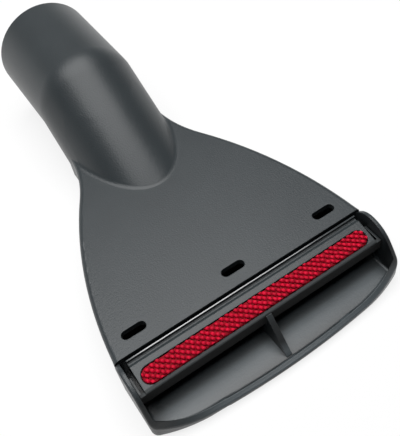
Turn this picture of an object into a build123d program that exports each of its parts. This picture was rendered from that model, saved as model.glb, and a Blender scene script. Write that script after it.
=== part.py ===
from build123d import *
import os
from math import atan2, cos, radians, sin, tan

# Push-on tube: the socket takes a 35 mm wand, a low ring inside stops it.
SOCKET_BORE = 35.2
TUBE_WALL = 2.4
TUBE_LENGTH = 38.6
TUBE_AXIS_HEIGHT = 22.3
SOCKET_DEPTH = 33.0
STOP_RING_WIDTH = 1.8
STOP_RING_HEIGHT = 0.9

# Neck: same bore, sloping down from the bend into the fan.
NECK_ANGLE = 28.0
BEND_REACH = 104.5
NECK_CREASE_RADIUS = 2.2

# Fan body, measured from the front edge of its flat face plate.
BODY_HEIGHT = 16.6
SHELL_WALL = 2.2
SIDE_WALL = 1.6
FAN_HALF_WIDTH = 46.4
FAN_START_ANGLE = 6.0
SHOULDER_HALF_WIDTH = 26.0
SHOULDER_REACH = 64.0
WAIST_HALF_WIDTH = 19.7
WAIST_REACH = 88.0
FACE_EDGE_RADIUS = 1.8
BACK_EDGE_RADIUS = 3.4
FLOOR_FILLET = 1.3

# Three vent slots behind the front edge of the face plate.
SLOT_LENGTH = 8.4
SLOT_WIDTH = 3.2
SLOT_SIDE_MARGIN = 10.1
SLOT_SETBACK = 6.0

# Cheeks and scoop lip round the mouth.
CHEEK_STAND_OUT = 0.5
CHEEK_STEP = 1.6
CHEEK_CROWN = 1.5
CHEEK_CROWN_REACH = 5.6
CHEEK_BROW_REACH = 14.5
CHEEK_BROW_DROP = 2.5
CHEEK_NOSE_REACH = 19.6
CHEEK_NOSE_DROP = 9.6
CHEEK_EDGE_RADIUS = 0.8
LIP_REACH = 25.4
LIP_BOW = 300.0
LIP_SHOULDER = 30.0
LIP_CORNER_REACH = 19.2
LIP_CORNER_RADIUS = 2.4
LIP_EDGE_RADIUS = 2.1
RIM_HEIGHT = 0.15

# Centre rib from the lip up to the carrier.
RIB_THICKNESS = 2.0
RIB_TOP_HEIGHT = 13.4
RIB_FOOT_REACH = 22.6
RIB_TAIL_REACH = 10.0

# Clip-in carrier bar.
CARRIER_END_PLAY = 0.2
CARRIER_REAR = 0.85
CARRIER_FRONT = 12.3
CARRIER_SEAT_HEIGHT = 9.0
CARRIER_WALL = 1.4
REAR_BEAD_WIDTH = 0.7
BEAD_DROP = 0.3
BEAD_BEVEL = 0.3
GROOVE_WIDTH = 0.95
GROOVE_DEPTH = 1.1
FRONT_DROP = 3.1
CARRIER_TILT = 14.0
SEAT_REACH = 3.2
SEAT_THICKNESS = 1.8

# Snap fingers at the carrier's ends, caught in pockets of the cheeks.
FINGER_THICKNESS = 0.8
FINGER_GAP = 1.1
FINGER_ROOT = 1.2
FINGER_TIP_REACH = 5.0
CATCH_HEIGHT = 0.7
CATCH_LENGTH = 1.6
CATCH_LIFT = 1.8
POCKET_MARGIN = 0.4
POCKET_DEPTH = 1.0
FIT_GAP = 0.15

# Lint strip in the carrier's recess.
STRIP_END_MARGIN = 1.3
STRIP_WIDTH = 5.7
STRIP_THICKNESS = 2.3
STRIP_SETBACK = 8.2
RECESS_DEPTH = 1.5
STRIP_EDGE_RADIUS = 0.9

BORE_RADIUS = SOCKET_BORE / 2
TUBE_RADIUS = BORE_RADIUS + TUBE_WALL
FACE = BODY_HEIGHT
CHEEK_HALF_WIDTH = FAN_HALF_WIDTH + CHEEK_STAND_OUT
CHEEK_INNER = CHEEK_HALF_WIDTH - SIDE_WALL
CARRIER_HALF_LENGTH = CHEEK_INNER - CARRIER_END_PLAY - FINGER_THICKNESS - FINGER_GAP
STRIP_LENGTH = 2 * (CARRIER_HALF_LENGTH - STRIP_END_MARGIN)
EDGE_Y = -(BEND_REACH + TUBE_LENGTH - LIP_REACH) / 2


def fan_outline():
    """Plan of the fan, cheeks and lip: bowed front, bell-shaped flanks, round tail inside the neck."""
    slope = radians(FAN_START_ANGLE)
    bow = [LIP_BOW - (LIP_BOW**2 - x**2) ** 0.5 - LIP_REACH for x in (0, LIP_SHOULDER)]
    front = ThreePointArc((-LIP_SHOULDER, bow[1]), (0, bow[0]), (LIP_SHOULDER, bow[1]))
    corner = TangentArc(front @ 1, (CHEEK_HALF_WIDTH, -LIP_CORNER_REACH), tangent=front % 1)
    cheek = Line(corner @ 1, (CHEEK_HALF_WIDTH, -CHEEK_STEP))
    step = Line(cheek @ 1, (FAN_HALF_WIDTH, CHEEK_STEP))
    flank = TangentArc(
        (FAN_HALF_WIDTH, CHEEK_STEP),
        (SHOULDER_HALF_WIDTH, SHOULDER_REACH),
        tangent=(-sin(slope), cos(slope)),
    )
    waist = TangentArc(flank @ 1, (WAIST_HALF_WIDTH, WAIST_REACH), tangent=flank % 1)
    right = [corner, cheek, step, flank, waist]
    left = [mirror(edge, about=Plane.YZ) for edge in right]
    tail = ThreePointArc(
        (WAIST_HALF_WIDTH, WAIST_REACH),
        (0, WAIST_REACH + WAIST_HALF_WIDTH / 2),
        (-WAIST_HALF_WIDTH, WAIST_REACH),
    )
    plan = make_face(front.edges() + right + [tail] + left)
    corners = [v for v in plan.vertices() if abs(v.Y + LIP_CORNER_REACH) < 1e-6]
    return fillet(corners, LIP_CORNER_RADIUS)


def elbow(radius):
    """Straight tube, a turned wedge closing the bend and the sloping neck, all of one radius."""
    bend = Location((0, BEND_REACH, TUBE_AXIS_HEIGHT))
    sink = (TUBE_AXIS_HEIGHT + radius - SHELL_WALL) / sin(radians(NECK_ANGLE))
    upright = (Align.CENTER, Align.CENTER, Align.MIN)
    tube = bend * Rot(-90, 0, 0) * Cylinder(radius, TUBE_LENGTH, align=upright)
    neck = bend * Rot(90 + NECK_ANGLE, 0, 0) * Cylinder(radius, sink, align=upright)
    turn = Plane(origin=bend.position, x_dir=(0, 0, 1), z_dir=(1, 0, 0))
    wedge = turn * Sphere(radius, arc_size3=NECK_ANGLE, align=None)
    return tube + neck + wedge


def span(x, y, z):
    """Box between pairs of limits along the three axes."""
    size = [limits[1] - limits[0] for limits in (x, y, z)]
    return Pos(x[0], y[0], z[0]) * Box(*size, align=Align.MIN)


def above(solid, height):
    """The part of a solid above a level."""
    reach = 2 * (BEND_REACH + TUBE_LENGTH)
    return solid & span((-reach, reach), (-reach, reach), (height, reach))


def side_profile(points_and_arcs, half_width):
    """Solid of a closed outline in the YZ plane, spread to both sides of the middle plane."""
    return extrude(Plane.YZ * make_face(points_and_arcs), half_width, both=True)


def outer_form():
    """Fan block with rounded face and back edges, joined to the elbow above the rest plane."""
    block = extrude(fan_outline(), FACE)
    block = fillet(block.edges().group_by(Axis.Z)[0], BACK_EDGE_RADIUS)
    block = fillet(block.edges().group_by(Axis.Z)[-1], FACE_EDGE_RADIUS)
    return above(block + elbow(TUBE_RADIUS), 0) + crease_fillet()


def cheek_form():
    """Fan's front part raised into the cheek humps, whose rims sweep down to the lip's low rim."""
    top = FACE + CHEEK_CROWN
    tower = extrude(fan_outline(), top)
    tower = fillet(tower.edges().group_by(Axis.Z)[0], LIP_EDGE_RADIUS)
    foot = (0, FACE - FACE_EDGE_RADIUS)
    crown = (-CHEEK_CROWN_REACH, top)
    brow = TangentArc(crown, (-CHEEK_BROW_REACH, FACE - CHEEK_BROW_DROP), tangent=(-1, 0))
    nose = TangentArc(brow @ 1, (-CHEEK_NOSE_REACH, FACE - CHEEK_NOSE_DROP), tangent=brow % 1)
    rim = SHELL_WALL + RIM_HEIGHT
    steepness = atan2(-(nose % 1).Y, -(nose % 1).X)
    run_out = -CHEEK_NOSE_REACH - (FACE - CHEEK_NOSE_DROP - rim) / tan(steepness / 2)
    sweep = TangentArc(nose @ 1, (run_out, rim), tangent=nose % 1)
    ahead = -2 * LIP_REACH
    below = Polyline(sweep @ 1, (ahead, rim), (ahead, 0), (0, 0), foot)
    outline = [TangentArc(crown, foot, tangent=(1, 0)), brow, nose, sweep, below]
    cheeks = tower & side_profile(Curve() + outline, 2 * CHEEK_HALF_WIDTH)
    arcs = cheeks.edges().filter_by(GeomType.CIRCLE).filter_by(Plane.YZ)
    upper = [edge for edge in arcs if edge.center().Z > FACE / 2]
    rims = [edge for edge in upper if abs(abs(edge.center().X) - CHEEK_HALF_WIDTH) < 1e-3]
    return fillet(rims, CHEEK_EDGE_RADIUS)


def crease_fillet():
    """Concave fillet round the foot of the neck, running out where the plate's flat ends at the waist."""
    reach = 2 * CHEEK_HALF_WIDTH
    deck = span((-reach, reach), (0, BEND_REACH + TUBE_RADIUS), (0, FACE))
    joined = deck + elbow(TUBE_RADIUS)
    ovals = joined.edges().filter_by(GeomType.ELLIPSE)
    joined = fillet([edge for edge in ovals if abs(edge.center().Z - FACE) < 1e-3], NECK_CREASE_RADIUS)
    near = elbow(TUBE_RADIUS + 1.5 * NECK_CREASE_RADIUS)
    flat = offset(fan_outline(), -FACE_EDGE_RADIUS, kind=Kind.INTERSECTION)
    return joined & near & Pos(0, 0, FACE - SHELL_WALL) * extrude(flat, FACE)


def duct():
    """Air space: the fan's hollow, open upward in front of the face plate, with the neck and the socket."""
    plan = offset(fan_outline(), -SIDE_WALL, kind=Kind.INTERSECTION)
    hollow = Pos(0, 0, SHELL_WALL) * extrude(plan, 2 * FACE)
    hollow = fillet(hollow.edges().group_by(Axis.Z)[0], FLOOR_FILLET)
    reach = 2 * (BEND_REACH + TUBE_LENGTH)
    hollow -= span((-reach, reach), (0, reach), (FACE - SHELL_WALL, 4 * FACE))
    return hollow + above(elbow(BORE_RADIUS), SHELL_WALL)


def stop_ring():
    """Low ring at the bottom of the socket that stops the wand."""
    mouth = BEND_REACH + TUBE_LENGTH
    ring = Cylinder(BORE_RADIUS + TUBE_WALL / 2, STOP_RING_WIDTH) - Cylinder(
        BORE_RADIUS - STOP_RING_HEIGHT, STOP_RING_WIDTH
    )
    middle = mouth - SOCKET_DEPTH - STOP_RING_WIDTH / 2
    return Pos(0, middle, TUBE_AXIS_HEIGHT) * Rot(90, 0, 0) * ring


def centre_rib():
    """Web on the lip: its sloping front edge climbs to the carrier's front, a short tail props it."""
    front = -CARRIER_FRONT - FIT_GAP
    tail = -RIB_TAIL_REACH
    tail_foot = tail + CARRIER_SEAT_HEIGHT - SHELL_WALL
    outline = Polyline(
        (-RIB_FOOT_REACH, SHELL_WALL),
        (front, RIB_TOP_HEIGHT),
        (front, CARRIER_SEAT_HEIGHT),
        (tail, CARRIER_SEAT_HEIGHT),
        (tail_foot, SHELL_WALL),
        (tail_foot, SHELL_WALL / 2),
        (-RIB_FOOT_REACH, SHELL_WALL / 2),
        close=True,
    )
    return side_profile(outline, RIB_THICKNESS / 2)


def both_ends(solid):
    """A solid and its mirror image on the other side of the middle plane."""
    return solid + mirror(solid, about=Plane.YZ)


def nozzle_body():
    """Moulded body: outer form and cheeks, hollowed, with vent slots, seats, pockets and ribs."""
    reach = 2 * (BEND_REACH + TUBE_LENGTH)
    fan = outer_form() - span((-reach, reach), (-reach, 0), (-reach, reach))
    body = fan + cheek_form() - duct()
    slot = extrude(SlotOverall(SLOT_LENGTH, SLOT_WIDTH), FACE / 2, both=True)
    side = FAN_HALF_WIDTH - SLOT_SIDE_MARGIN
    for x in (-side, 0, side):
        body -= Pos(x, SLOT_SETBACK, FACE) * slot
    seat = span(
        (CHEEK_INNER - SEAT_REACH, CHEEK_INNER + SIDE_WALL / 2),
        (-CARRIER_FRONT + 2 * CARRIER_WALL, -CARRIER_REAR - CARRIER_WALL),
        (CARRIER_SEAT_HEIGHT - SEAT_THICKNESS, CARRIER_SEAT_HEIGHT),
    )
    pocket = span(
        (CHEEK_INNER - SIDE_WALL / 2, CHEEK_INNER + POCKET_DEPTH),
        (-FINGER_TIP_REACH - CATCH_LENGTH - POCKET_MARGIN, -FINGER_TIP_REACH + POCKET_MARGIN),
        (
            CARRIER_SEAT_HEIGHT + CATCH_LIFT - POCKET_MARGIN,
            CARRIER_SEAT_HEIGHT + CATCH_LIFT + CATCH_LENGTH + POCKET_MARGIN,
        ),
    )
    return body + both_ends(seat) - both_ends(pocket) + stop_ring() + centre_rib()


def carrier_top(y):
    """Height of the carrier's tilted upper side at a distance in front of the face plate."""
    return FACE - FRONT_DROP + (y + CARRIER_FRONT) * tan(radians(CARRIER_TILT))


def strip_pad(margin, thickness):
    """Round-ended pad that stands on the floor of the carrier's recess, square to its tilted side."""
    tilt = radians(CARRIER_TILT)
    lean = Vector(0, -sin(tilt), cos(tilt))
    middle = Vector(0, -STRIP_SETBACK, carrier_top(-STRIP_SETBACK)) - lean * RECESS_DEPTH
    plan = SlotOverall(STRIP_LENGTH + 2 * margin, STRIP_WIDTH + 2 * margin)
    return Plane(origin=middle, x_dir=(1, 0, 0), z_dir=lean) * extrude(plan, thickness)


def strip_carrier():
    """Bar of channel section with a rear bead, a groove, a tilted top and two snap fingers."""
    rear, front, seat = -CARRIER_REAR, -CARRIER_FRONT, CARRIER_SEAT_HEIGHT
    bead = rear - REAR_BEAD_WIDTH
    bead_top = FACE - BEAD_DROP
    groove = bead_top - GROOVE_DEPTH
    land = bead - 2 * GROOVE_WIDTH
    section = Polyline(
        (rear, seat),
        (rear, bead_top - BEAD_BEVEL),
        (rear - BEAD_BEVEL, bead_top),
        (bead, bead_top),
        (bead, groove),
        (bead - GROOVE_WIDTH, groove),
        (land, carrier_top(land)),
        (front + BEAD_BEVEL, carrier_top(front + BEAD_BEVEL)),
        (front, FACE - FRONT_DROP - BEAD_BEVEL),
        (front, seat),
        close=True,
    )
    bar = side_profile(section, CARRIER_HALF_LENGTH) - strip_pad(FIT_GAP, FACE)
    ceiling = carrier_top(front) - RECESS_DEPTH - CARRIER_WALL
    bar -= span(
        (-CARRIER_HALF_LENGTH + CARRIER_WALL, CARRIER_HALF_LENGTH - CARRIER_WALL),
        (front + CARRIER_WALL, rear - CARRIER_WALL),
        (0, ceiling),
    )
    inner = CARRIER_HALF_LENGTH + FINGER_GAP
    outer = inner + FINGER_THICKNESS
    low, high = seat + FIT_GAP, FACE - FRONT_DROP - BEAD_BEVEL
    finger = span((inner, outer), (front, -FINGER_TIP_REACH), (low, high))
    finger += span((CARRIER_HALF_LENGTH - CARRIER_WALL, outer), (front, front + FINGER_ROOT), (low, high))
    catch = span(
        (inner, outer + CATCH_HEIGHT),
        (-FINGER_TIP_REACH - CATCH_LENGTH, -FINGER_TIP_REACH),
        (seat + CATCH_LIFT, seat + CATCH_LIFT + CATCH_LENGTH),
    )
    return bar + both_ends(finger + catch)


def lint_strip():
    """Pile strip: a round-ended pad with softly rounded upper edges."""
    pad = strip_pad(0, STRIP_THICKNESS)
    return fillet(pad.faces().sort_by(Axis.Z)[-1].edges(), STRIP_EDGE_RADIUS)


os.makedirs("parts", exist_ok=True)
for name, form in {
    "nozzle_body": nozzle_body,
    "strip_carrier": strip_carrier,
    "lint_strip": lint_strip,
}.items():
    export_step(Pos(0, EDGE_Y, 0) * form(), f"parts/{name}.step")
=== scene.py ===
from math import cos, pi, radians, sin

import bpy
import numpy as np
from mathutils import Matrix, Vector


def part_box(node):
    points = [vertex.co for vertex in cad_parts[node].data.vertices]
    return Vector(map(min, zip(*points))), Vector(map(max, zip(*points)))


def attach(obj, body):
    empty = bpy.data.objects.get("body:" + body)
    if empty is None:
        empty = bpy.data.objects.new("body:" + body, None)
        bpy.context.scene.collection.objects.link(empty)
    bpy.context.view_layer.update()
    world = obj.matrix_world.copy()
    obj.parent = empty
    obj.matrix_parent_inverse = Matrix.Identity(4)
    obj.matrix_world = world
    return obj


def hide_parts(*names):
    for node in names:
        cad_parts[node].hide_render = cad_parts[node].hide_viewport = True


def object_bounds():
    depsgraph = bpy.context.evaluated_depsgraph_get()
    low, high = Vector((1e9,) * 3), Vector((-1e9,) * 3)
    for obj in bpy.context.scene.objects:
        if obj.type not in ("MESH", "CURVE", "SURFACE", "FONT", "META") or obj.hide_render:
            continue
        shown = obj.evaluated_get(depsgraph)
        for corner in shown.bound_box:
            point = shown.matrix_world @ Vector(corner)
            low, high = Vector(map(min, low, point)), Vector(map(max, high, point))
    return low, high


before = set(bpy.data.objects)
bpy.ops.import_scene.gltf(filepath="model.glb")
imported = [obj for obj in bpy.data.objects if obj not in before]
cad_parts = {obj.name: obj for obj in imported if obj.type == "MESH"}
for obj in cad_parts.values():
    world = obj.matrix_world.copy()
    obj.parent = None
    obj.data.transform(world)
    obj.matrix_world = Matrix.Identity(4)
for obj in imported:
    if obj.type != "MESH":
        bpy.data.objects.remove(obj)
cad_low, cad_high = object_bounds()

# Nozzle body: one hollow moulding of slate grey polypropylene with a fan, a bent neck and a push-on tube.
# Its mould is finely eroded, so the skin is satin with a fine grain and faint flow mottling. Painted shade
# darkens its deep hollows, the scoop's cheeks and rib, and the scoop's floor beside the carrier and at the
# lip.
# A band of painted light brightens the scoop's floor between them, and painted light rises along the lip's
# rim towards the right. It is the CAD solid itself, dressed in that skin.
SLATE = (0.0335, 0.0405, 0.0445)
PLASTIC_GLOSS = 0.4
GRAIN_SIZE, GRAIN_HEIGHT, GRAIN_DETAIL = 0.0005, 0.00006, 2
MOTTLE, CLOUD_SCALE, CLOUD_DETAIL, CLOUD_RANGE = 0.05, 55, 3, (0.3, 0.7)
ROUGHNESS_SCATTER = 0.08
EDGE_ROUND, EDGE_SAMPLES = 0.00035, 6
# Painted shade: an occlusion node darkens the colour in deep hollows within this reach.
HOLLOW_REACH, HOLLOW_SAMPLES = 0.012, 8
HOLLOW_RANGE, HOLLOW_PAINTED_SHADE = (0.1, 0.6), 0.15
BODY_ROUGHNESS, SCOOP_ROUGHNESS = 0.36, 0.4
# Painted shade and light in the scoop's colour: painted shade on its cheeks, rib and floor beside the
# carrier and at the lip's front, painted light on a band of its floor and on the lip's rim towards the
# right.
SCOOP_PAINTED_SHADE, FLOOR_PAINTED_LIGHT, FLOOR_FRONT_PAINTED_SHADE, RIM_PAINTED_LIGHT = 0.28, 2.0, 0.5, 1.8
RUBBED_COAT = 0.5
# Each zone of the scoop runs between two places, most of them measured from the carrier's front face.
SCOOP_FLOOR = 0.0022
FLOOR_UNDER = (SCOOP_FLOOR - 0.0012, SCOOP_FLOOR - 0.0004)
FLOOR_OVER = (SCOOP_FLOOR + 0.0002, SCOOP_FLOOR + 0.0004)
carrier_low, carrier_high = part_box("strip_carrier")
SCOOP_EDGE = (carrier_low.y - 0.00235, carrier_low.y + 0.00065)
PAINTED_LIGHT_REAR = (carrier_low.y - 0.00305, carrier_low.y - 0.00025)
PAINTED_LIGHT_FRONT = (carrier_low.y - 0.01035, carrier_low.y - 0.00535)
RIM_FADE = (carrier_low.y - 0.00885, carrier_low.y - 0.00665)
RIM_LIGHT_START = (cad_low[0] + 0.0029, cad_low[0] + 0.0229)


def set_sockets(node, values):
    """Sets a node's own sockets, by name, to plain values."""
    for name, value in values.items():
        node.inputs[name].default_value = value


def moulded_skin():
    """Node group for eroded moulded plastic, on Object coordinates: a slow cloud tints the colour, painted
    shade from an occlusion node darkens it in deep hollows, and a finer noise sets the grain's height and
    scatters the roughness."""
    group = bpy.data.node_groups.new("moulded_skin", "ShaderNodeTree")
    face = group.interface
    face.new_socket("Colour", in_out="INPUT", socket_type="NodeSocketColor")
    for name in ("Grain size", "Mottle", "Roughness"):
        face.new_socket(name, in_out="INPUT", socket_type="NodeSocketFloat")
    face.new_socket("Colour", in_out="OUTPUT", socket_type="NodeSocketColor")
    for name in ("Roughness", "Height"):
        face.new_socket(name, in_out="OUTPUT", socket_type="NodeSocketFloat")
    add, link = group.nodes.new, group.links.new
    given, put = add("NodeGroupInput"), add("NodeGroupOutput")
    place = add("ShaderNodeTexCoord")

    cloud = add("ShaderNodeTexNoise")
    set_sockets(cloud, {"Scale": CLOUD_SCALE, "Detail": CLOUD_DETAIL})
    link(place.outputs["Object"], cloud.inputs["Vector"])
    swing = add("ShaderNodeMapRange")
    set_sockets(swing, {"From Min": CLOUD_RANGE[0], "From Max": CLOUD_RANGE[1]})
    link(cloud.outputs["Fac"], swing.inputs["Value"])
    for operation, end in (("SUBTRACT", "To Min"), ("ADD", "To Max")):
        about_one = add("ShaderNodeMath")
        about_one.operation = operation
        about_one.inputs[0].default_value = 1
        link(given.outputs["Mottle"], about_one.inputs[1])
        link(about_one.outputs[0], swing.inputs[end])

    # Painted shade: the occlusion node darkens the colour in deep hollows.
    hollow = add("ShaderNodeAmbientOcclusion")
    hollow.samples = HOLLOW_SAMPLES
    set_sockets(hollow, {"Distance": HOLLOW_REACH})
    depth = add("ShaderNodeMapRange")
    set_sockets(depth, {"From Min": HOLLOW_RANGE[0], "From Max": HOLLOW_RANGE[1], "To Min": HOLLOW_PAINTED_SHADE})
    shade, tint = add("ShaderNodeMath"), add("ShaderNodeVectorMath")
    shade.operation = "MULTIPLY"
    tint.operation = "SCALE"
    link(hollow.outputs["AO"], depth.inputs["Value"])
    link(depth.outputs["Result"], shade.inputs[0])
    link(swing.outputs["Result"], shade.inputs[1])
    link(given.outputs["Colour"], tint.inputs[0])
    link(shade.outputs[0], tint.inputs["Scale"])
    link(tint.outputs["Vector"], put.inputs["Colour"])

    pitch = add("ShaderNodeMath")
    pitch.operation = "DIVIDE"
    pitch.inputs[0].default_value = 1
    link(given.outputs["Grain size"], pitch.inputs[1])
    grain = add("ShaderNodeTexNoise")
    set_sockets(grain, {"Detail": GRAIN_DETAIL})
    link(place.outputs["Object"], grain.inputs["Vector"])
    link(pitch.outputs[0], grain.inputs["Scale"])
    link(grain.outputs["Fac"], put.inputs["Height"])
    centre, spread = add("ShaderNodeMath"), add("ShaderNodeMath")
    centre.operation = "SUBTRACT"
    centre.inputs[1].default_value = 0.5
    spread.operation = "MULTIPLY_ADD"
    spread.inputs[1].default_value = ROUGHNESS_SCATTER
    link(grain.outputs["Fac"], centre.inputs[0])
    link(centre.outputs[0], spread.inputs[0])
    link(given.outputs["Roughness"], spread.inputs[2])
    link(spread.outputs[0], put.inputs["Roughness"])
    return group


skin = moulded_skin()


def plastic(name, colour, mottle, grain_size, grain_height):
    """Satin plastic: the skin group feeds roughness and a bump of the given height in metres, on normals
    that turn softly over the sharp edges, as the mould's own small radii do."""
    made = bpy.data.materials.new(name)
    made.use_nodes = True
    nodes, link = made.node_tree.nodes, made.node_tree.links.new
    shader = nodes["Principled BSDF"]
    set_sockets(shader, {"Specular IOR Level": PLASTIC_GLOSS})
    surface = nodes.new("ShaderNodeGroup")
    surface.node_tree = skin
    set_sockets(surface, {"Colour": (*colour, 1), "Mottle": mottle, "Grain size": grain_size})
    edge = nodes.new("ShaderNodeBevel")
    edge.samples = EDGE_SAMPLES
    set_sockets(edge, {"Radius": EDGE_ROUND})
    bump = nodes.new("ShaderNodeBump")
    set_sockets(bump, {"Strength": 1, "Distance": grain_height})
    link(edge.outputs["Normal"], bump.inputs["Normal"])
    link(surface.outputs["Height"], bump.inputs["Height"])
    link(bump.outputs["Normal"], shader.inputs["Normal"])
    link(surface.outputs["Roughness"], shader.inputs["Roughness"])
    return made


def shade_zones(made, roughness, strength, coat):
    """Lets three values that change from zone to zone steer the skin's roughness, colour and coat."""
    nodes, link = made.node_tree.nodes, made.node_tree.links.new
    shader, surface = nodes["Principled BSDF"], nodes["Group"]
    dim = nodes.new("ShaderNodeVectorMath")
    dim.operation = "SCALE"
    link(roughness, surface.inputs["Roughness"])
    link(surface.outputs["Colour"], dim.inputs[0])
    link(strength, dim.inputs["Scale"])
    link(dim.outputs["Vector"], shader.inputs["Base Color"])
    link(coat, shader.inputs["Coat Weight"])


def ramp(made, axis, start, end, low=0, high=1):
    """Value that runs from low to high between two places along one axis; low or high may be a socket."""
    nodes, link = made.node_tree.nodes, made.node_tree.links.new
    place, axes = nodes.new("ShaderNodeTexCoord"), nodes.new("ShaderNodeSeparateXYZ")
    slope = nodes.new("ShaderNodeMapRange")
    set_sockets(slope, {"From Min": start, "From Max": end})
    for name, value in (("To Min", low), ("To Max", high)):
        if isinstance(value, bpy.types.NodeSocket):
            link(value, slope.inputs[name])
        else:
            set_sockets(slope, {name: value})
    link(place.outputs["Object"], axes.inputs["Vector"])
    link(axes.outputs[axis], slope.inputs["Value"])
    return slope.outputs["Result"]


def scoop_zones(made, on_floor, on_rim, beside):
    """Value for the scoop's floor, for the lip's rim in front of it, and for cheeks and rib beside it."""
    edge = ramp(made, "Y", *RIM_FADE, on_rim, beside)
    inside = ramp(made, "Z", *FLOOR_OVER, on_floor, edge)
    return ramp(made, "Z", *FLOOR_UNDER, beside, inside)


def dress(node, material):
    """Gives a CAD node one material."""
    node.data.materials.clear()
    node.data.materials.append(material)


body_satin = plastic("body_satin", SLATE, MOTTLE, GRAIN_SIZE, GRAIN_HEIGHT)
set_sockets(body_satin.node_tree.nodes["Principled BSDF"], {"Coat Roughness": SCOOP_ROUGHNESS})
# Painted light on a band of the scoop's floor, fading to painted shade at the lip's front and beside the
# carrier.
painted_floor_light = ramp(body_satin, "Y", *PAINTED_LIGHT_FRONT, FLOOR_FRONT_PAINTED_SHADE, FLOOR_PAINTED_LIGHT)
painted_floor_light = ramp(body_satin, "Y", *PAINTED_LIGHT_REAR, painted_floor_light, SCOOP_PAINTED_SHADE)
# Painted light on the lip's rim, rising from painted shade at the left to painted light at the right.
rim = ramp(body_satin, "X", *RIM_LIGHT_START, SCOOP_PAINTED_SHADE, RIM_PAINTED_LIGHT)
shade_zones(
    body_satin,
    ramp(body_satin, "Y", *SCOOP_EDGE, SCOOP_ROUGHNESS, BODY_ROUGHNESS),
    ramp(body_satin, "Y", *SCOOP_EDGE, scoop_zones(body_satin, painted_floor_light, rim, SCOOP_PAINTED_SHADE), 1),
    ramp(body_satin, "Y", *SCOOP_EDGE, scoop_zones(body_satin, RUBBED_COAT, RUBBED_COAT, 0), 0),
)
dress(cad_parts["nozzle_body"], body_satin)

# Strip carrier: a separate bar, moulded in the same grey and clipped between the cheeks by two end fingers.
# Its mould is a little smoother than the body's, its front margin is duller and darker, its front face is
# darkened nearly to black as painted shade, and the bead along its rear edge is polished by rubbing.
# Painted shade darkens its hollows as on the body. It is the CAD solid with its own skin.
CARRIER_SLATE = (0.0335, 0.0405, 0.0435)
CARRIER_MOTTLE, CARRIER_GRAIN_SIZE, CARRIER_GRAIN_HEIGHT = 0.04, 0.0004, 0.00003
CARRIER_ROUGHNESS, MARGIN_ROUGHNESS, FRONT_ROUGHNESS = 0.34, 0.6, 0.95
# The front face's colour is darkened nearly to black as painted shade; the margin is darker.
MARGIN_STRENGTH, FRONT_PAINTED_SHADE = 0.6, 0.05
FRONT_EDGE = (carrier_low.y + 0.00003, carrier_low.y + 0.00009)
MARGIN_EDGE = (carrier_low.y + 0.00105, carrier_low.y + 0.00135)
BEAD_WIDTH, BEAD_BLEND, BEAD_DEPTH = 0.00055, 0.0001, 0.0007
BEAD_FRONT = (carrier_high.y - BEAD_WIDTH - BEAD_BLEND, carrier_high.y - BEAD_WIDTH)
BEAD_FOOT = (carrier_high.z - BEAD_DEPTH, carrier_high.z - BEAD_DEPTH / 2)
BEAD_START = (carrier_low.x + 0.0028, carrier_low.x + 0.0098)
BEAD_FADE = (carrier_high.x + 0.0042, carrier_high.x - 0.0578)
POLISH = {"Coat Roughness": 0.1, "Coat IOR": 2.2}

carrier_satin = plastic(
    "carrier_satin", CARRIER_SLATE, CARRIER_MOTTLE, CARRIER_GRAIN_SIZE, CARRIER_GRAIN_HEIGHT
)
set_sockets(carrier_satin.node_tree.nodes["Principled BSDF"], POLISH)
polished = ramp(carrier_satin, "X", *BEAD_START)
polished = ramp(carrier_satin, "X", *BEAD_FADE, 0, polished)
polished = ramp(carrier_satin, "Z", *BEAD_FOOT, 0, polished)
polished = ramp(carrier_satin, "Y", *BEAD_FRONT, 0, polished)
margin_roughness = ramp(carrier_satin, "Y", *MARGIN_EDGE, MARGIN_ROUGHNESS, CARRIER_ROUGHNESS)
margin_strength = ramp(carrier_satin, "Y", *MARGIN_EDGE, MARGIN_STRENGTH, 1)
shade_zones(
    carrier_satin,
    ramp(carrier_satin, "Y", *FRONT_EDGE, FRONT_ROUGHNESS, margin_roughness),
    # Painted shade: the front face's colour is scaled nearly to black.
    ramp(carrier_satin, "Y", *FRONT_EDGE, FRONT_PAINTED_SHADE, margin_strength),
    polished,
)
dress(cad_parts["strip_carrier"], carrier_satin)

# Lint strip: a narrow ribbon with short red yarn floats, woven in diagonal rows that drag lint along.
# The ribbon is glued into the carrier's recess and leans forward with the carrier's top. Here it is a
# crowned backing pad with one float on each crossing of the weave, trimmed at the ribbon's edge.
STRIP_TILT = radians(14)
STRIP_LENGTH, STRIP_WIDTH = 0.0838, 0.0057
STRAIGHT_HALF = (STRIP_LENGTH - STRIP_WIDTH) / 2
OUTLINE_STEPS, SHOULDER_STEPS = 64, 6
BACKING_HEIGHT, SHOULDER_DROP, SHOULDER_ROUND = 0.0014, 0.0001, 0.0007
CROWN_INSETS, CROWN_DROPS = (0.0013, 0.0019, 0.0024), (0.00005, 0.00001, 0)
FLOAT_LENGTH, FLOAT_WIDTH, FLOAT_HEIGHT, FLOAT_ARCH = 0.0021, 0.00115, 0.0005, 0.0004
FLOAT_RINGS, FLOAT_SIDES = 9, 10
FLOAT_TAPER, FLOAT_BLUNTNESS, FLOAT_DIVE = 0.985, 2.6, 1.8
FLOAT_LAY, LAY_SPREAD, FLOAT_SHIFT, FLOAT_SWELL = radians(-59), 0.12, 0.00006, (0.9, 1.1)
ROW_STEP, COLUMN_STEP, LATTICE_REACH = (0.00124, -0.00096), (0.00073, 0.00137), 60
FLOAT_MARGIN, EDGE_MARGIN, FLOAT_SEED = 0.0001, 0.00012, 11
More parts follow.
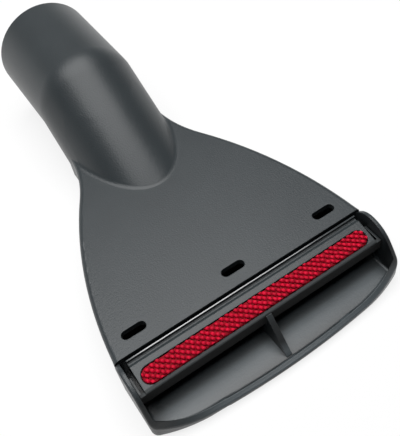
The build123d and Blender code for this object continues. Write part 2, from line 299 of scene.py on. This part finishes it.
# Painted shade: the yarn is darker between the floats, and the backing between them darker still.
GAP_PAINTED_SHADE_RED, CREST_RED, CREST_START = (0.31, 0.0, 0.01, 1), (0.66, 0.002, 0.032, 1), 0.8
FLOAT_SHADES, BACKING_PAINTED_SHADE = (0.8, 1.12), 0.4
YARN = {
    "Roughness": 0.5,
    "Specular IOR Level": 0.2,
    "Sheen Weight": 0.05,
    "Sheen Roughness": 0.4,
    "Sheen Tint": (1, 0.55, 0.6, 1),
}
FIBRE_STRETCH, FIBRE_DETAIL, FIBRE_HEIGHT = (3, 26, 1), 3, 0.00012
FIBRE_OFFSETS, BACKING_FIBRES = (7, 13), 900

strip_low, strip_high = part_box("lint_strip")
half_width = STRIP_WIDTH / 2
strip_foot = np.array(
    [0, strip_high.y - half_width * cos(STRIP_TILT), strip_low.z + half_width * sin(STRIP_TILT)]
)
strip_axes = np.array(
    [(1, 0, 0), (0, cos(STRIP_TILT), sin(STRIP_TILT)), (0, -sin(STRIP_TILT), cos(STRIP_TILT))]
)


def mesh_piece(name, points, faces):
    """Mesh object from an array of points and a list of faces, at the origin."""
    mesh = bpy.data.meshes.new(name)
    mesh.from_pydata(points.reshape(-1, 3).tolist(), [], faces)
    mesh.validate()
    piece = bpy.data.objects.new(name, mesh)
    bpy.context.scene.collection.objects.link(piece)
    return piece


def ring_faces(rings, around):
    """Quads between successive closed rings of points, with a flat cap on the first and the last ring."""
    row, step = np.meshgrid(np.arange(rings - 1), np.arange(around), indexing="ij")
    here, after = row * around + step, row * around + (step + 1) % around
    quads = np.stack([here, after, after + around, here + around], -1)
    first = list(range(around))[::-1]
    last = list(range((rings - 1) * around, rings * around))
    return quads.reshape(-1, 4).tolist() + [first, last]


def stadium(inset):
    """Closed outline of a round-ended bar, moved inwards by each inset: two half circles whose radius
    shrinks by the inset, pushed apart along the bar by the straight length between them."""
    turn = np.linspace(0, 2 * pi, OUTLINE_STEPS, endpoint=False) - pi / 2 + pi / OUTLINE_STEPS
    radius = half_width - inset[:, None]
    return np.sign(np.cos(turn)) * STRAIGHT_HALF + radius * np.cos(turn), radius * np.sin(turn)


def backing():
    """Rings of the stadium outline: the side wall goes straight up, then a quarter circle turns it inwards,
    and a shallow crown rises to the last ring."""
    arc = np.linspace(0, pi / 2, SHOULDER_STEPS)
    shoulder = BACKING_HEIGHT - SHOULDER_DROP - SHOULDER_ROUND * (1 - np.sin(arc))
    inset = np.concatenate([[0], SHOULDER_ROUND * (1 - np.cos(arc)), CROWN_INSETS])
    height = np.concatenate([[0], shoulder, BACKING_HEIGHT - np.array(CROWN_DROPS)])
    along, across = stadium(inset)
    return np.stack([along, across, np.broadcast_to(height[:, None], along.shape)], -1)


def past_straight(along):
    """How far a place along the strip lies beyond the straight stretch, on either side."""
    return np.sign(along) * np.maximum(np.abs(along) - STRAIGHT_HALF, 0)


def floats():
    """Every float is a bent spindle on one crossing of a slanted lattice. Its radius follows the square
    root of one minus the place along it to a power, and its spine is a low parabola whose ends dive into
    the backing. Each has its own small turn, shift and swell, and what crosses the edge is drawn in."""
    draw = np.random.default_rng(FLOAT_SEED)
    lattice = np.arange(-LATTICE_REACH, LATTICE_REACH + 1)
    row, column = np.meshgrid(lattice, lattice, indexing="ij")
    crossing = row.reshape(-1, 1) * np.array(ROW_STEP) + column.reshape(-1, 1) * np.array(COLUMN_STEP)
    off_middle = np.hypot(past_straight(crossing[:, 0]), crossing[:, 1])
    crossing = crossing[off_middle < half_width - FLOAT_MARGIN]
    count = len(crossing)
    crossing = crossing + draw.normal(0, FLOAT_SHIFT, (count, 2))
    spin = (FLOAT_LAY + draw.normal(0, LAY_SPREAD, count))[:, None, None]
    swell = draw.uniform(*FLOAT_SWELL, count)[:, None, None]

    place = np.linspace(-1, 1, FLOAT_RINGS)[:, None]
    turn = np.linspace(0, 2 * pi, FLOAT_SIDES, endpoint=False)[None, :]
    girth = np.sqrt(1 - FLOAT_TAPER * np.abs(place) ** FLOAT_BLUNTNESS)
    length = FLOAT_LENGTH / 2 * place * np.ones_like(turn)
    width = FLOAT_WIDTH / 2 * girth * np.cos(turn) * swell
    height = FLOAT_HEIGHT * girth * np.sin(turn) + FLOAT_ARCH * (1 - FLOAT_DIVE * place**2)
    along = crossing[:, 0, None, None] + length * np.cos(spin) - width * np.sin(spin)
    across = crossing[:, 1, None, None] + length * np.sin(spin) + width * np.cos(spin)
    past, edge = past_straight(along), half_width - EDGE_MARGIN
    pull = edge / np.maximum(np.hypot(past, across), edge)
    points = [along - past + past * pull, across * pull, BACKING_HEIGHT + height * swell]
    return np.stack(points, -1), draw.uniform(0, 1, count)


def lint_red():
    """Red yarn, bright on the floats' crests and darkened towards their roots as painted shade, from the
    height stored in the mesh, with the backing darkened further as painted shade, one random tone per
    float, fine fibre streaks along the float's own UV map and a velvety sheen."""
    made = bpy.data.materials.new("lint_red")
    made.use_nodes = True
    nodes, link = made.node_tree.nodes, made.node_tree.links.new
    shader = nodes["Principled BSDF"]
    set_sockets(shader, YARN)
    crest, shade = nodes.new("ShaderNodeAttribute"), nodes.new("ShaderNodeAttribute")
    crest.attribute_name, shade.attribute_name = "crest", "shade"
    reds = nodes.new("ShaderNodeValToRGB")
    gap, top = reds.color_ramp.elements
    gap.color, top.color, top.position = GAP_PAINTED_SHADE_RED, CREST_RED, CREST_START
    link(crest.outputs["Fac"], reds.inputs["Fac"])
    vary = nodes.new("ShaderNodeMapRange")
    set_sockets(vary, {"To Min": FLOAT_SHADES[0], "To Max": FLOAT_SHADES[1]})
    link(shade.outputs["Fac"], vary.inputs["Value"])
    tint = nodes.new("ShaderNodeVectorMath")
    tint.operation = "SCALE"
    link(reds.outputs["Color"], tint.inputs[0])
    link(vary.outputs["Result"], tint.inputs["Scale"])
    link(tint.outputs["Vector"], shader.inputs["Base Color"])
    yarn = nodes.new("ShaderNodeUVMap")
    yarn.uv_map = "yarn"
    stretch, fibre = nodes.new("ShaderNodeMapping"), nodes.new("ShaderNodeTexNoise")
    set_sockets(stretch, {"Scale": FIBRE_STRETCH})
    set_sockets(fibre, {"Scale": 1, "Detail": FIBRE_DETAIL})
    bump = nodes.new("ShaderNodeBump")
    set_sockets(bump, {"Distance": FIBRE_HEIGHT})
    link(yarn.outputs["UV"], stretch.inputs["Vector"])
    link(stretch.outputs["Vector"], fibre.inputs["Vector"])
    link(fibre.outputs["Fac"], bump.inputs["Height"])
    link(bump.outputs["Normal"], shader.inputs["Normal"])
    return made


pad = backing()
spindles, shades = floats()
pad_count, spindle_count = pad.shape[0] * pad.shape[1], FLOAT_RINGS * FLOAT_SIDES
local = np.concatenate([pad.reshape(-1, 3), spindles.reshape(-1, 3)])
spindle_faces = ring_faces(FLOAT_RINGS, FLOAT_SIDES)
faces = ring_faces(pad.shape[0], pad.shape[1]) + [
    [corner + pad_count + number * spindle_count for corner in face]
    for number in range(len(spindles))
    for face in spindle_faces
]
strip = mesh_piece("lint_floats", strip_foot + local @ strip_axes, faces)
strip.data.shade_smooth()
point_values = {
    "crest": np.clip((local[:, 2] - BACKING_HEIGHT) / (FLOAT_HEIGHT + FLOAT_ARCH), 0, 1),
    "shade": np.concatenate([np.full(pad_count, BACKING_PAINTED_SHADE), np.repeat(shades, spindle_count)]),
}
for name, values in point_values.items():
    strip.data.attributes.new(name, "FLOAT", "POINT").data.foreach_set("value", values.astype(np.float32))
spindle_uv = np.stack(
    np.broadcast_arrays(
        shades[:, None, None] * FIBRE_OFFSETS[0] + np.linspace(0, 1, FLOAT_RINGS)[None, :, None],
        shades[:, None, None] * FIBRE_OFFSETS[1] + np.linspace(0, 1, FLOAT_SIDES)[None, None, :],
    ),
    -1,
)
point_uv = np.concatenate([local[:pad_count, :2] * BACKING_FIBRES, spindle_uv.reshape(-1, 2)])
corner_points = np.zeros(len(strip.data.loops), np.int32)
strip.data.loops.foreach_get("vertex_index", corner_points)
corner_uv = point_uv[corner_points].astype(np.float32).ravel()
strip.data.uv_layers.new(name="yarn").data.foreach_set("uv", corner_uv)
strip.data.materials.append(lint_red())
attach(strip, "root")
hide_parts("lint_strip")

# Stage: a pale paper floor just under the flat underside, lit by one broad soft lamp straight overhead.
# Paper and horizon glow white only for the rays by which they are seen, and the rest of the world is dim.
# From below the paper is clear, so that the underside can be looked at.
PAPER_HALF, PAPER_DROP = 3.0, 0.0002
PAPER = {
    "Base Color": (0.18, 0.18, 0.18, 1),
    "Roughness": 0.9,
    "Specular IOR Level": 0,
    "Emission Color": (1, 1, 1, 1),
}
PAPER_WHITE = 0.8
WORLD_WHITE, WORLD_FILL, WORLD_TOP, HORIZON = (1, 1, 1, 1), 0.01, 0.12, (0.08, 0.35)
LAMP_PLACE, LAMP_SIZE, LAMP_POWER = (-0.05, 0.19, 1.1), (1.2, 1.12), 19.5


def seen_rays(tree):
    """Output that is one for the rays by which the background is seen: camera, glossy and transmission."""
    ray = tree.nodes.new("ShaderNodeLightPath")
    total = ray.outputs["Is Camera Ray"]
    for name in ("Is Glossy Ray", "Is Transmission Ray"):
        either = tree.nodes.new("ShaderNodeMath")
        either.operation = "MAXIMUM"
        tree.links.new(total, either.inputs[0])
        tree.links.new(ray.outputs[name], either.inputs[1])
        total = either.outputs[0]
    return total


corners = np.array([(-1, -1, 0), (1, -1, 0), (1, 1, 0), (-1, 1, 0)])
floor = mesh_piece("floor", corners * PAPER_HALF - (0, 0, PAPER_DROP), [(0, 1, 2, 3)])
paper = bpy.data.materials.new("pale_paper")
paper.use_nodes = True
nodes, link = paper.node_tree.nodes, paper.node_tree.links.new
sheet = nodes["Principled BSDF"]
set_sockets(sheet, PAPER)
glow = nodes.new("ShaderNodeMapRange")
set_sockets(glow, {"To Max": PAPER_WHITE})
link(seen_rays(paper.node_tree), glow.inputs["Value"])
link(glow.outputs["Result"], sheet.inputs["Emission Strength"])
side, solid = nodes.new("ShaderNodeNewGeometry"), nodes.new("ShaderNodeMath")
solid.operation = "SUBTRACT"
solid.inputs[0].default_value = 1
link(side.outputs["Backfacing"], solid.inputs[1])
link(solid.outputs[0], sheet.inputs["Alpha"])
floor.data.materials.append(paper)

world = bpy.data.worlds.new("studio")
bpy.context.scene.world = world
world.use_nodes = True
nodes, link = world.node_tree.nodes, world.node_tree.links.new
sky = nodes["Background"]
set_sockets(sky, {"Color": WORLD_WHITE})
level, fade = nodes.new("ShaderNodeMapRange"), nodes.new("ShaderNodeMapRange")
set_sockets(level, {"To Min": WORLD_FILL})
set_sockets(fade, {"From Min": HORIZON[0], "From Max": HORIZON[1], "To Min": 1, "To Max": WORLD_TOP})
direction, height = nodes.new("ShaderNodeTexCoord"), nodes.new("ShaderNodeSeparateXYZ")
link(direction.outputs["Generated"], height.inputs["Vector"])
link(height.outputs["Z"], fade.inputs["Value"])
link(fade.outputs["Result"], level.inputs["To Max"])
link(seen_rays(world.node_tree), level.inputs["Value"])
link(level.outputs["Result"], sky.inputs["Strength"])

lamp = bpy.data.lights.new("overhead", "AREA")
lamp.shape = "RECTANGLE"
lamp.size, lamp.size_y = LAMP_SIZE
lamp.energy = LAMP_POWER
overhead = bpy.data.objects.new("overhead", lamp)
overhead.location = LAMP_PLACE
bpy.context.scene.collection.objects.link(overhead)

# Camera: looks down on the face plate from the front left, rolled so that the tube points to the
# upper left. Its focal length is given in pixels of a picture of the given height.
EYE = Vector((-0.0549, -0.15275, 0.1867))
AZIMUTH, ELEVATION, ROLL = radians(25.13), radians(51.36), radians(10.45)
SENSOR, FOCAL_PIXELS, PICTURE_HEIGHT, NEAREST = 36, 650, 436, 0.01

ahead = Vector((sin(AZIMUTH) * cos(ELEVATION), cos(AZIMUTH) * cos(ELEVATION), -sin(ELEVATION)))
level_right = Vector((cos(AZIMUTH), -sin(AZIMUTH), 0))
right = level_right * cos(ROLL) + ahead.cross(level_right) * sin(ROLL)
up = -ahead.cross(right)
camera = bpy.data.objects.new("camera", bpy.data.cameras.new("camera"))
camera.data.sensor_width = SENSOR
camera.data.lens = SENSOR * FOCAL_PIXELS / PICTURE_HEIGHT
camera.data.clip_start = NEAREST
camera.matrix_world = Matrix((right, up, -ahead)).transposed().to_4x4()
camera.location = EYE
bpy.context.scene.collection.objects.link(camera)
bpy.context.scene.camera = camera
bpy.context.scene.view_settings.view_transform = "Standard"
